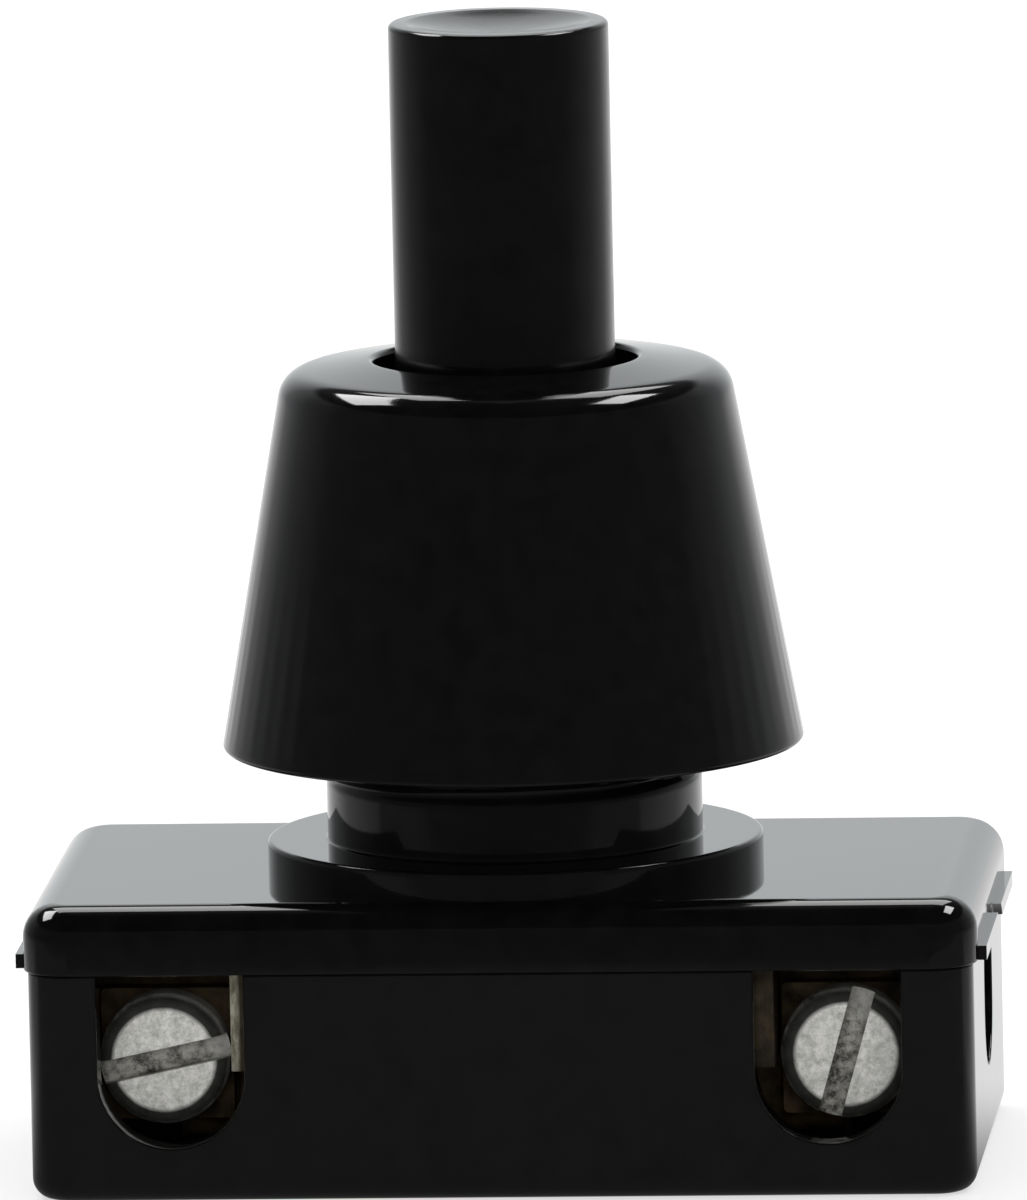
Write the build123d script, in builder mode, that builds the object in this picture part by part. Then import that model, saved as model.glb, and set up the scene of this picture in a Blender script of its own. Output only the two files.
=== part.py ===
from build123d import *
import os
from math import cos, radians, sin

# Built-in push-button lamp switch, in millimetres.
# A shallow moulded housing (box and cover) carries a threaded neck. The neck goes up through
# the hole in a lamp base, and a conical ring nut clamps the panel between itself and the
# flange. The button runs in the neck. Each press turns a four-tooth ratchet rotor, whose
# contact leaf joins or parts two fixed contacts. A slotted screw with a square clamp washer
# holds each lead, and is reached through a notch in the front wall.
# Origin: centre of the underside. +Z is up the button, +X along the housing, -Y is the front.

os.makedirs("parts", exist_ok=True)

# Cover
cover_length = 25.3
cover_depth = 14.8
cover_height = 1.8
cover_plate = 1.1
cover_corner = 1.3
cover_edge = 0.9
lip_reach = 0.22
lip_height = 0.4
lip_length = 12.0

# Box under the cover
box_inset = 0.12
box_height = 6.1
box_wall = 1.0
box_floor = 1.0
box_corner = 1.1
box_edge = 0.55
cavity_corner = 0.3

# Snap hooks that hold the cover on the box
hook_side_gap = 1.2
hook_width = 2.0
hook_thickness = 0.7
hook_reach = 2.4
hook_clearance = 0.1
barb_reach = 0.35
barb_height = 0.7
pocket_clearance = 0.1

# Flange and threaded neck, one moulding with the cover
flange_diameter = 13.2
flange_thickness = 0.75
flange_edge = 0.1
neck_diameter = 10.0
neck_height = 9.4
neck_chamfer = 0.4

# Conical ring nut
nut_height = 10.4
nut_crown = 0.35
nut_bottom_diameter = 15.5
nut_top_diameter = 11.9
nut_rim_radius = 0.8
nut_foot_radius = 0.12
nut_hole_diameter = 7.0
nut_hole_edge = 0.15
nut_top_wall = 1.2
nut_thread_clearance = 0.05
panel_gap = 2.45

# Push button
button_diameter = 5.85
button_rise = 8.95
button_travel = 3.0
button_clearance = 0.1
button_edge = 0.2
dish_diameter = 4.9
dish_depth = 0.3
collar_diameter = 6.9
collar_height = 1.0
collar_clearance = 0.15
collar_stop_gap = 0.1
key_width = 1.0
key_reach = 0.5
key_clearance = 0.15
prong_count = 4
prong_angle = 24.0
spring_pocket_diameter = 3.7
spring_pocket_depth = 3.9

# Ratchet rotor, its axle and the contact leaf
rotor_side_gap = 0.9
rotor_thickness = 1.0
ratchet_diameter = 6.0
ratchet_bore = 3.8
ramp_angle = 45.0
ratchet_clearance = 0.1
axle_diameter = 1.2
axle_clearance = 0.05
axle_fit = 0.01
axle_embed = 0.6
axle_top_gap = 1.0
boss_diameter = 2.8
boss_gap = 0.05
leaf_end_gap = 0.1
leaf_width = 2.2
leaf_thickness = 0.25
dimple_diameter = 1.1
dimple_depth = 0.15
dimple_edge = 0.12
contact_gap = 0.05
pin_diameter = 0.8
pin_head_diameter = 1.0
pin_head_height = 0.12
pin_offset = 1.05

# Return spring and the washer that it stands on
seat_diameter = 3.5
seat_thickness = 0.25
seat_clearance = 0.1
spring_diameter = 2.95
spring_wire = 0.35
spring_turns = 7
spring_end_gap = 0.03

# Terminals
sheet = 0.8
bend_radius = 0.1
terminal_end_gap = 0.58
terminal_height = 3.5
plate_reach = 1.9
plate_top_gap = 0.9
plate_bottom_gap = 0.3
ear_gap = 0.1
ear_front_gap = 0.3
ear_height = 2.6
tongue_width = 2.4
tongue_end = 0.1
leg_width = 2.4
contact_diameter = 1.4
contact_height = 0.2
contact_offset = 0.7

# Terminal screws and clamp washers
screw_diameter = 2.0
screw_thread_clearance = 0.02
screw_head_diameter = 3.5
screw_head_height = 1.1
screw_head_edge = 0.34
screw_slot_width = 0.62
screw_slot_depth = 0.5
screw_tail = 1.2
screw_recess = 1.0
left_slot_angle = 12.0
right_slot_angle = 74.0
washer_width = 3.5
washer_thickness = 0.7
washer_hole_clearance = 0.1
washer_edge = 0.15

# Openings in the box
notch_width = 3.9
notch_offset = 0.35
notch_drop = 0.1
entry_width = 3.4
entry_height = 4.3
entry_level = 4.45

# Ribs inside the box
partition_wall = 0.7
partition_gap = 0.5
partition_window_gap = 0.15
backing_depth = 1.0
backing_width = 0.75
hold_down_gap = 0.1
hold_down_width = 1.4

# Levels and places that follow from the sizes above
box_length = cover_length - 2 * box_inset
box_depth = cover_depth - 2 * box_inset
cavity_length = box_length - 2 * box_wall
cavity_depth = box_depth - 2 * box_wall
cover_top = box_height + cover_height
cover_ceiling = cover_top - cover_plate
flange_top = cover_top + flange_thickness
neck_top = flange_top + neck_height
nut_bottom = flange_top + panel_gap
button_top = nut_bottom + nut_height + button_rise

tongue_top = box_floor + sheet
leaf_bottom = tongue_top + contact_height + contact_gap + dimple_depth
rotor_bottom = leaf_bottom + leaf_thickness
ratchet_land = rotor_bottom + rotor_thickness
ratchet_crest = ratchet_land + button_travel
prong_tip = ratchet_crest + ratchet_clearance
prong_root = prong_tip + button_travel
collar_top = prong_root + collar_height
neck_step = collar_top + collar_stop_gap
spring_ceiling = prong_root + spring_pocket_depth
boss_top = leaf_bottom - pin_head_height - boss_gap
axle_top = spring_ceiling - button_travel - axle_top_gap
spring_bottom = ratchet_land + seat_thickness + spring_end_gap
spring_top = spring_ceiling - spring_end_gap

terminal_x = cavity_length / 2 - terminal_end_gap - plate_reach
cavity_front = -cavity_depth / 2
head_front = cavity_front + screw_recess
head_back = head_front + screw_head_height
washer_back = head_back + washer_thickness
plate_back = washer_back + sheet
plate_outer = terminal_x + plate_reach
plate_top = cover_ceiling - plate_top_gap
plate_bottom = tongue_top + plate_bottom_gap
ear_outer = terminal_x - washer_width / 2 - ear_gap
ear_inner = ear_outer - sheet
ear_front = cavity_front + ear_front_gap
partition_outer = ear_inner - partition_gap
partition_inner = partition_outer - partition_wall
hook_spacing = 2 * (partition_inner - hook_side_gap) - hook_width
rotor_diameter = 2 * (partition_inner - rotor_side_gap)
leaf_length = rotor_diameter - 2 * leaf_end_gap
contact_x = leaf_length / 2 - contact_offset
tongue_start = contact_x - contact_diameter / 2 - tongue_end
pin_spacing = 2 * (contact_x - pin_offset)
hook_bottom = box_height - hook_reach
hook_face = cavity_depth / 2 - hook_clearance


# Outline of the lead holes in the end walls
with BuildSketch(Plane.YZ.offset(-cover_length)) as entry_outline:
    with Locations((0, entry_level)):
        SlotOverall(entry_height, entry_width, rotation=90)

# Cover with flange and neck
with BuildPart() as top_cover:
    with BuildSketch(Plane.XY.offset(box_height)):
        RectangleRounded(cover_length, cover_depth, cover_corner)
    extrude(amount=cover_height)
    fillet(top_cover.faces().sort_by(Axis.Z)[-1].edges(), cover_edge)
    # Lip along the foot of each end, for a fingernail or a blade
    with Locations((0, 0, box_height)):
        Box(
            cover_length + 2 * lip_reach,
            lip_length,
            lip_height,
            align=(Align.CENTER, Align.CENTER, Align.MIN),
        )
    # Hollow under the plate
    with BuildSketch(Plane.XY.offset(box_height)):
        RectangleRounded(cavity_length, cavity_depth, cavity_corner)
    extrude(amount=cover_ceiling - box_height, mode=Mode.SUBTRACT)
    extrude(entry_outline.sketch, amount=2 * cover_length, mode=Mode.SUBTRACT)
    # Flange and neck
    with BuildSketch(Plane.XY.offset(cover_ceiling)):
        Circle(flange_diameter / 2)
    extrude(amount=flange_top - cover_ceiling)
    fillet(top_cover.faces().sort_by(Axis.Z)[-1].edges(), flange_edge)
    with BuildSketch(Plane.XY.offset(cover_top)):
        Circle(neck_diameter / 2)
    extrude(amount=neck_top - cover_top)
    chamfer(top_cover.faces().sort_by(Axis.Z)[-1].edges(), neck_chamfer)
    # Guide bore for the button, and the wider bore below it for the collar
    with BuildSketch(Plane.XY.offset(cover_ceiling)):
        Circle(button_diameter / 2 + button_clearance)
    extrude(amount=neck_top - cover_ceiling, mode=Mode.SUBTRACT)
    with BuildSketch(Plane.XY.offset(cover_ceiling)):
        Circle(collar_diameter / 2 + collar_clearance)
        Rectangle(
            collar_diameter + 2 * (key_reach + key_clearance),
            key_width + 2 * key_clearance,
        )
    extrude(amount=neck_step - cover_ceiling, mode=Mode.SUBTRACT)
    # Snap hooks with barbs, two at the front and two at the back
    for hook_x in (-hook_spacing / 2, hook_spacing / 2):
        for hook_side in (-1, 1):
            hook_inner = hook_side * (hook_face - hook_thickness)
            hook_outer = hook_side * hook_face
            barb_tip = hook_side * (hook_face + barb_reach)
            with BuildSketch(Plane.YZ.offset(hook_x - hook_width / 2)):
                with BuildLine():
                    Polyline(
                        (hook_inner, cover_ceiling),
                        (hook_inner, hook_bottom),
                        (hook_outer, hook_bottom),
                        (barb_tip, hook_bottom + barb_height),
                        (hook_outer, hook_bottom + barb_height),
                        (hook_outer, cover_ceiling),
                        close=True,
                    )
                make_face()
            extrude(amount=hook_width)
    # Ribs that keep the terminal plates down
    with Locations(
        (-terminal_x, washer_back + sheet / 2, cover_ceiling),
        (terminal_x, washer_back + sheet / 2, cover_ceiling),
    ):
        Box(
            hold_down_width,
            sheet,
            plate_top_gap - hold_down_gap,
            align=(Align.CENTER, Align.CENTER, Align.MAX),
        )
top_cover.part.label = "top_cover"

# Box
with BuildPart() as base_box:
    with BuildSketch():
        RectangleRounded(box_length, box_depth, box_corner)
    extrude(amount=box_height)
    fillet(base_box.faces().sort_by(Axis.Z)[0].edges(), box_edge)
    with BuildSketch(Plane.XY.offset(box_floor)):
        RectangleRounded(cavity_length, cavity_depth, cavity_corner)
    extrude(amount=box_height - box_floor, mode=Mode.SUBTRACT)
    # Walls between the switch chamber and the terminals, each with a window for the tongue
    with Locations(
        (-(partition_inner + partition_outer) / 2, 0, box_floor),
        ((partition_inner + partition_outer) / 2, 0, box_floor),
    ):
        Box(
            partition_wall,
            cavity_depth,
            box_height - box_floor,
            align=(Align.CENTER, Align.CENTER, Align.MIN),
        )
    with Locations((0, 0, box_floor)):
        Box(
            2 * partition_outer,
            tongue_width + 2 * partition_window_gap,
            sheet + partition_window_gap,
            align=(Align.CENTER, Align.CENTER, Align.MIN),
            mode=Mode.SUBTRACT,
        )
    # Ribs behind the terminal plates, against the push of a screwdriver
    for backing_side in (-1, 1):
        with Locations(
            (
                backing_side * (cavity_length / 2 - backing_width / 2),
                plate_back + backing_depth / 2,
                box_floor,
            ),
        ):
            Box(
                backing_width,
                backing_depth,
                plate_top - box_floor,
                align=(Align.CENTER, Align.CENTER, Align.MIN),
            )
    # Boss for the rotor's axle
    with BuildSketch(Plane.XY.offset(box_floor)):
        Circle(boss_diameter / 2)
    extrude(amount=boss_top - box_floor)
    with BuildSketch(Plane.XY.offset(box_floor - axle_embed)):
        Circle(axle_diameter / 2 + axle_fit)
    extrude(amount=boss_top - box_floor + axle_embed, mode=Mode.SUBTRACT)
    # Notches in front of the terminal screws, open up to the cover
    for notch_side in (-1, 1):
        with BuildSketch(Plane.XZ.offset(-cavity_front + box_wall / 2)):
            with Locations(
                (notch_side * (terminal_x - notch_offset), terminal_height - notch_drop)
            ):
                Circle(notch_width / 2)
                Rectangle(
                    notch_width,
                    box_height,
                    align=(Align.CENTER, Align.MIN),
                )
        extrude(amount=box_wall, both=True, mode=Mode.SUBTRACT)
    extrude(entry_outline.sketch, amount=2 * cover_length, mode=Mode.SUBTRACT)
    # Pockets that the hooks' barbs snap into
    with Locations(
        (0, 0, hook_bottom - pocket_clearance),
    ):
        with GridLocations(hook_spacing, cavity_depth, 2, 2):
            Box(
                hook_width + 2 * pocket_clearance,
                2 * (barb_reach - hook_clearance + pocket_clearance),
                barb_height + 2 * pocket_clearance,
                align=(Align.CENTER, Align.CENTER, Align.MIN),
                mode=Mode.SUBTRACT,
            )
base_box.part.label = "base_box"

# Ring nut: a tapered body with a slightly crowned top, bored for the thread
with BuildPart() as ring_nut:
    with BuildSketch(Plane.XZ):
        with BuildLine():
            Polyline(
                (neck_diameter / 2 + nut_thread_clearance, nut_bottom),
                (nut_bottom_diameter / 2, nut_bottom),
                (nut_top_diameter / 2, nut_bottom + nut_height - nut_crown),
                (nut_hole_diameter / 2, nut_bottom + nut_height),
                (nut_hole_diameter / 2, nut_bottom + nut_height - nut_top_wall),
                (
                    neck_diameter / 2 + nut_thread_clearance,
                    nut_bottom + nut_height - nut_top_wall,
                ),
                close=True,
            )
        profile = make_face()
        corners = profile.vertices().sort_by(Axis.X)
        fillet(corners[-1], nut_foot_radius)
        fillet(corners[-2], nut_rim_radius)
        fillet(
            profile.vertices().group_by(Axis.X)[0].sort_by(Axis.Z)[-1],
            nut_hole_edge,
        )
    revolve(axis=Axis.Z)
ring_nut.part.label = "ring_nut"

# Push button: dished top, retaining collar, keys and driving prongs
with BuildPart() as push_button:
    with BuildSketch(Plane.XZ):
        with BuildLine():
            TangentArc(
                (0, button_top - dish_depth),
                (dish_diameter / 2, button_top),
                tangent=(1, 0),
            )
            Polyline(
                (dish_diameter / 2, button_top),
                (button_diameter / 2, button_top),
                (button_diameter / 2, collar_top),
                (collar_diameter / 2, collar_top),
                (collar_diameter / 2, prong_root),
                (spring_pocket_diameter / 2, prong_root),
                (spring_pocket_diameter / 2, spring_ceiling),
                (0, spring_ceiling),
                (0, button_top - dish_depth),
            )
        make_face()
    revolve(axis=Axis.Z)
    top_rim = push_button.edges().group_by(Axis.Z)[-1].sort_by(SortBy.RADIUS)[-1]
    fillet(top_rim, button_edge)
    # Keys on the collar, which stop the button from turning
    with BuildSketch(Plane.XY.offset(prong_root)):
        Rectangle(collar_diameter + 2 * key_reach, key_width)
        Circle(button_diameter / 2, mode=Mode.SUBTRACT)
    extrude(amount=collar_height)
    # Prongs that drive the rotor
    for prong in range(prong_count):
        prong_start = prong * 360 / prong_count - prong_angle
        with BuildSketch(Plane.XY.offset(prong_tip)):
            with BuildLine():
                outer_arc = CenterArc((0, 0), button_diameter / 2, prong_start, prong_angle)
                inner_arc = CenterArc((0, 0), spring_pocket_diameter / 2, prong_start, prong_angle)
                Line(outer_arc @ 0, inner_arc @ 0)
                Line(outer_arc @ 1, inner_arc @ 1)
            make_face()
        extrude(amount=prong_root - prong_tip)
push_button.part.label = "push_button"


def ratchet_section(angle, height):
    """Sketches a slice of a tooth on the half plane at that angle, wider than the ring."""
    radial = Vector(cos(radians(angle)), sin(radians(angle)), 0)
    plane = Plane(origin=(0, 0, rotor_bottom), x_dir=radial, z_dir=radial.cross(Vector(0, 0, 1)))
    with BuildSketch(plane) as section:
        with Locations((ratchet_bore / 4, 0)):
            Rectangle(
                ratchet_diameter / 2,
                rotor_thickness + height,
                align=(Align.MIN, Align.MIN),
            )
    return section.sketch


# Ratchet teeth: four ramps, each rising over ramp_angle and then dropping sheer
with BuildPart() as ratchet_teeth:
    ramp_steps = 3
    for tooth in range(prong_count):
        tooth_top = tooth * 360 / prong_count
        sections = [
            ratchet_section(
                tooth_top - ramp_angle * (1 - step / ramp_steps),
                button_travel * step / ramp_steps,
            )
            for step in range(ramp_steps + 1)
        ]
        loft(sections, ruled=True)
    with BuildSketch(Plane.XY.offset(rotor_bottom)):
        Circle(ratchet_diameter / 2)
        Circle(ratchet_bore / 2, mode=Mode.SUBTRACT)
    extrude(amount=rotor_thickness + button_travel, mode=Mode.INTERSECT)

# Rotor: a disc with the ratchet ring on top, bored for the axle
with BuildPart() as ratchet_rotor:
    with BuildSketch(Plane.XY.offset(rotor_bottom)):
        Circle(rotor_diameter / 2)
    extrude(amount=rotor_thickness)
    add(ratchet_teeth.part)
    with BuildSketch(Plane.XY.offset(rotor_bottom)):
        Circle(axle_diameter / 2 + axle_clearance)
        with GridLocations(pin_spacing, 0, 2, 1):
            Circle(pin_diameter / 2)
    extrude(amount=rotor_thickness, mode=Mode.SUBTRACT)
ratchet_rotor.part.label = "ratchet_rotor"

# Contact leaf under the rotor, with a pressed dimple at each end
with BuildPart() as contact_leaf:
    with BuildSketch(Plane.XY.offset(leaf_bottom)):
        SlotOverall(leaf_length, leaf_width)
    extrude(amount=leaf_thickness)
    with BuildSketch(Plane.XY.offset(leaf_bottom - dimple_depth)):
        with GridLocations(2 * contact_x, 0, 2, 1):
            Circle(dimple_diameter / 2)
    extrude(amount=dimple_depth)
    chamfer(contact_leaf.faces().group_by(Axis.Z)[0].edges(), dimple_edge)
    with BuildSketch(Plane.XY.offset(leaf_bottom)):
        Circle(axle_diameter / 2 + axle_clearance)
        with GridLocations(pin_spacing, 0, 2, 1):
            Circle(pin_diameter / 2)
    extrude(amount=leaf_thickness, mode=Mode.SUBTRACT)
contact_leaf.part.label = "contact_leaf"

# Axle, pressed into the boss
with BuildPart() as axle_pin:
    with BuildSketch(Plane.XY.offset(box_floor - axle_embed)):
        Circle(axle_diameter / 2)
    extrude(amount=axle_top - box_floor + axle_embed)
    chamfer(axle_pin.faces().sort_by(Axis.Z)[-1].edges(), axle_diameter / 8)
axle_pin.part.label = "axle_pin"

# Washer between the turning rotor and the spring
with BuildPart() as spring_seat:
    with BuildSketch(Plane.XY.offset(ratchet_land)):
        Circle(seat_diameter / 2)
        Circle(axle_diameter / 2 + seat_clearance, mode=Mode.SUBTRACT)
    extrude(amount=seat_thickness)
spring_seat.part.label = "spring_seat"

# Return spring, with its ends ground flat
with BuildPart() as return_spring:
    with BuildLine(Plane.XY.offset(spring_bottom)) as coil:
        Helix(
            pitch=(spring_top - spring_bottom) / spring_turns,
            height=spring_top - spring_bottom,
            radius=(spring_diameter - spring_wire) / 2,
        )
    with BuildSketch(Plane(origin=coil.line @ 0, z_dir=coil.line % 0)):
        Circle(spring_wire / 2)
    sweep()
    split(bisect_by=Plane.XY.offset(spring_bottom), keep=Keep.TOP)
    split(bisect_by=Plane.XY.offset(spring_top), keep=Keep.BOTTOM)
return_spring.part.label = "return_spring"


def terminal(side):
    """Bent brass strip: tapped plate, ear beside the washer, leg, and tongue to the contact."""
    with BuildPart() as strip:
        # Plate with the ear folded forward from its inner edge
        with BuildSketch(Plane.XY.offset(plate_bottom)):
            with BuildLine():
                Polyline(
                    (side * ear_inner, ear_front),
                    (side * ear_outer, ear_front),
                    (side * ear_outer, washer_back),
                    (side * plate_outer, washer_back),
                    (side * plate_outer, plate_back),
                    (side * ear_inner, plate_back),
                    close=True,
                )
            plan = make_face()
            inside = plan.vertices().sort_by_distance((side * ear_outer, washer_back))[0]
            fillet(inside, bend_radius)
            outside = plan.vertices().sort_by_distance((side * ear_inner, plate_back))[0]
            fillet(outside, bend_radius + sheet)
        extrude(amount=plate_top - plate_bottom)
        with Locations((side * (ear_inner + ear_outer) / 2, washer_back, plate_bottom)):
            Box(
                sheet,
                washer_back - ear_front,
                plate_top - plate_bottom - ear_height,
                align=(Align.CENTER, Align.MAX, Align.MIN),
                mode=Mode.SUBTRACT,
            )
        # Leg from the plate down to the floor, bent back to the tongue
        with BuildSketch(Plane.YZ.offset(side * (ear_inner + leg_width / 2))):
            with BuildLine():
                Polyline(
                    (washer_back, plate_bottom + sheet),
                    (washer_back, box_floor),
                    (tongue_width / 2, box_floor),
                    (tongue_width / 2, tongue_top),
                    (plate_back, tongue_top),
                    (plate_back, plate_bottom + sheet),
                    close=True,
                )
            elevation = make_face()
            heel = elevation.vertices().sort_by_distance((washer_back, box_floor))[0]
            fillet(heel, bend_radius + sheet)
            crook = elevation.vertices().sort_by_distance((plate_back, tongue_top))[0]
            fillet(crook, bend_radius)
        extrude(amount=leg_width / 2, both=True)
        with Locations((side * (tongue_start + ear_inner + leg_width) / 2, 0, box_floor)):
            Box(
                ear_inner + leg_width - tongue_start,
                tongue_width,
                sheet,
                align=(Align.CENTER, Align.CENTER, Align.MIN),
            )
        # Tapped hole
        with BuildSketch(Plane.XZ.offset(-plate_back)):
            with Locations((side * terminal_x, terminal_height)):
                Circle(screw_diameter / 2 + screw_thread_clearance)
        extrude(amount=sheet, mode=Mode.SUBTRACT)
    return strip.part


def leaf_pin(side):
    """Headed pin that fastens the leaf to the rotor."""
    with BuildPart() as pin:
        with BuildSketch(Plane.XY.offset(leaf_bottom - pin_head_height)):
            with Locations((side * pin_spacing / 2, 0)):
                Circle(pin_head_diameter / 2)
        extrude(amount=pin_head_height)
        with BuildSketch(Plane.XY.offset(leaf_bottom)):
            with Locations((side * pin_spacing / 2, 0)):
                Circle(pin_diameter / 2)
        extrude(amount=ratchet_land - leaf_bottom)
    return pin.part


def contact_rivet(side):
    """Silver contact on the end of a terminal's tongue."""
    with BuildPart() as rivet:
        with BuildSketch(Plane.XY.offset(tongue_top)):
            with Locations((side * contact_x, 0)):
                Circle(contact_diameter / 2)
        extrude(amount=contact_height)
        chamfer(rivet.faces().sort_by(Axis.Z)[-1].edges(), contact_height / 3)
    return rivet.part


def clamp_washer(side):
    """Square washer that presses the lead against the plate."""
    with BuildPart() as washer:
        with BuildSketch(Plane.XZ.offset(-washer_back)):
            with Locations((side * terminal_x, terminal_height)):
                RectangleRounded(washer_width, washer_width, washer_edge)
                Circle(screw_diameter / 2 + washer_hole_clearance, mode=Mode.SUBTRACT)
        extrude(amount=washer_thickness)
    return washer.part


def terminal_screw(side, slot_angle):
    """Slotted pan-head screw along Y, head to the front."""
    with BuildPart() as screw:
        with BuildSketch(Plane.XZ.offset(-head_back)):
            with Locations((side * terminal_x, terminal_height)):
                Circle(screw_head_diameter / 2)
        extrude(amount=screw_head_height)
        fillet(screw.faces().sort_by(Axis.Y)[0].edges(), screw_head_edge)
        with BuildSketch(Plane.XZ.offset(-plate_back - screw_tail)):
            with Locations((side * terminal_x, terminal_height)):
                Circle(screw_diameter / 2)
        extrude(amount=plate_back + screw_tail - head_back)
        with BuildSketch(Plane.XZ.offset(-head_front - screw_slot_depth)):
            with Locations((side * terminal_x, terminal_height)):
                Rectangle(
                    2 * screw_head_diameter,
                    screw_slot_width,
                    rotation=slot_angle,
                )
        extrude(amount=screw_slot_depth, mode=Mode.SUBTRACT)
    return screw.part


pieces = [
    top_cover.part,
    base_box.part,
    ring_nut.part,
    push_button.part,
    ratchet_rotor.part,
    contact_leaf.part,
    axle_pin.part,
    spring_seat.part,
    return_spring.part,
]
for side, word, slot_angle in (
    (-1, "left", left_slot_angle),
    (1, "right", right_slot_angle),
):
    paired = {
        "terminal": terminal(side),
        "contact_rivet": contact_rivet(side),
        "leaf_pin": leaf_pin(side),
        "clamp_washer": clamp_washer(side),
        "terminal_screw": terminal_screw(side, slot_angle),
    }
    for name, piece in paired.items():
        piece.label = f"{name}_{word}"
        pieces.append(piece)

for piece in pieces:
    export_step(piece, f"parts/{piece.label}.step")
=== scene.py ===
import math

import bmesh
import bpy
from mathutils import Matrix, Vector


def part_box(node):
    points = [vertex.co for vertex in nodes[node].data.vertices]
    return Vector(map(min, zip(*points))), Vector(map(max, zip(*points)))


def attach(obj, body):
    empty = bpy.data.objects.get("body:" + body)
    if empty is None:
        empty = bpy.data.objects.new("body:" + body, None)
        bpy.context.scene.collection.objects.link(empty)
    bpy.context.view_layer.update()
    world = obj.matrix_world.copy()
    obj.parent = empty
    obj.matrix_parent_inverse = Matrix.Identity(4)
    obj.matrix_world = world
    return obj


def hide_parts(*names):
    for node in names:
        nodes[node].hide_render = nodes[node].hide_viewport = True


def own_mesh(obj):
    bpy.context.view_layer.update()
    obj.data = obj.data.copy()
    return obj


# Built-in push-button lamp switch: looks, light and camera.
# Shapes are made in millimetres, in the frame's own axes, and scaled to metres when finished.

MM = 0.001

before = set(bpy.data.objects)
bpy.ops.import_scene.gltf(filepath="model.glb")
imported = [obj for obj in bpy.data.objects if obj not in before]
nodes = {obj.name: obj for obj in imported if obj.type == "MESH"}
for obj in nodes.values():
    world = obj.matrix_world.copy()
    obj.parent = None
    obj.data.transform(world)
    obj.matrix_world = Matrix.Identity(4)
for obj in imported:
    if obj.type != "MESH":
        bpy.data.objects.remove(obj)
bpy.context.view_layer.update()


def corners(node):
    """Lowest and highest corner of a CAD node, in millimetres."""
    low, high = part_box(node)
    return Vector(low) / MM, Vector(high) / MM


# Sizes read from the frame
box_low, box_high = corners("base_box")
cover_low, cover_high = corners("top_cover")
nut_low, nut_high = corners("ring_nut")
button_low, button_high = corners("push_button")
spring_low, spring_high = corners("return_spring")
rotor_low = corners("ratchet_rotor")[0]
terminal_low, terminal_high = corners("terminal_right")
screw_low, screw_high = corners("terminal_screw_right")
washer_low, washer_high = corners("clamp_washer_right")
parting = box_high.z
neck_top = cover_high.z

# Cover
lip_reach = 0.22
cover_length = 2 * (cover_high.x - lip_reach)
cover_depth = cover_high.y - cover_low.y
cover_height = 1.8
cover_plate = 1.1
cover_top = parting + cover_height
cover_ceiling = cover_top - cover_plate
cover_corner = 1.3
cover_edge = 0.9
parting_edge = 0.07
lip_length = 12.0
lip_height = 0.4
flange_radius = 6.6
flange_thickness = 0.75
flange_top = cover_top + flange_thickness
neck_radius = 5.0
thread_pitch = 1.0
thread_depth = 0.42
thread_start = nut_low.z - 0.9
hook_place = 3.0
hook_width = 2.0
pocket_width = 2.2

# Push button, and the bores and slots that it runs in
button_radius = 2.925
guide_radius = button_radius + 0.1
collar_radius = 3.45
collar_bore_radius = collar_radius + 0.15
collar_height = 1.0
collar_stop_gap = 0.1
key_width = 1.0
key_reach = 3.95
key_slot_width = key_width + 0.3
key_slot_reach = key_reach + 0.15
prong_count = 4
prong_angle = 24.0
prong_length = 3.0
prong_root = button_low.z + prong_length
collar_top = prong_root + collar_height

# Box
box_length = box_high.x - box_low.x
box_depth = box_high.y - box_low.y
box_wall = 1.0
box_floor = 1.0
box_corner = 1.1
box_edge = 0.55
cavity_length = box_length - 2 * box_wall
cavity_depth = box_depth - 2 * box_wall
cavity_corner = 0.3
terminal_x = (screw_low.x + screw_high.x) / 2
terminal_z = (screw_low.z + screw_high.z) / 2
notch_width = 3.9
notch_x = terminal_x - 0.35
notch_z = terminal_z - 0.1
entry_width = 3.4
entry_height = 4.3
entry_z = 4.45
mouth_round = 0.05

# Ring nut
nut_foot_radius = 7.75
nut_rim_radius = 5.95
nut_crown = 0.35
nut_hole_radius = 3.5
nut_bore_radius = 5.05
nut_top_wall = 1.2
flute_count = 72
flute_depth = 0.012

# Terminals and screws
ear_outer = terminal_x - (washer_high.x - washer_low.x) / 2 - 0.1
ear_thickness = 0.8
screw_head_height = 1.1
screw_pitch = 0.4
screw_thread_depth = 0.2
screw_slot_width = 0.62
screw_slot_depth = 0.5


def solid(name, rings, loop=False):
    """Closed mesh through rings of points. A loop joins its last ring to its first."""
    count = len(rings)
    size = len(rings[0])
    vertices = [point for ring in rings for point in ring]
    faces = []
    for row in range(count if loop else count - 1):
        here = row * size
        there = ((row + 1) % count) * size
        for column in range(size):
            beside = (column + 1) % size
            faces.append((here + column, here + beside, there + beside, there + column))
    if not loop:
        faces.append(tuple(reversed(range(size))))
        faces.append(tuple(range((count - 1) * size, count * size)))
    mesh = bpy.data.meshes.new(name)
    mesh.from_pydata(vertices, [], faces)
    form = bmesh.new()
    form.from_mesh(mesh)
    bmesh.ops.remove_doubles(form, verts=form.verts, dist=1e-5)
    bmesh.ops.dissolve_degenerate(form, edges=form.edges, dist=1e-6)
    bmesh.ops.recalc_face_normals(form, faces=form.faces)
    form.to_mesh(mesh)
    form.free()
    piece = bpy.data.objects.new(name, mesh)
    bpy.context.scene.collection.objects.link(piece)
    return piece


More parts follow.
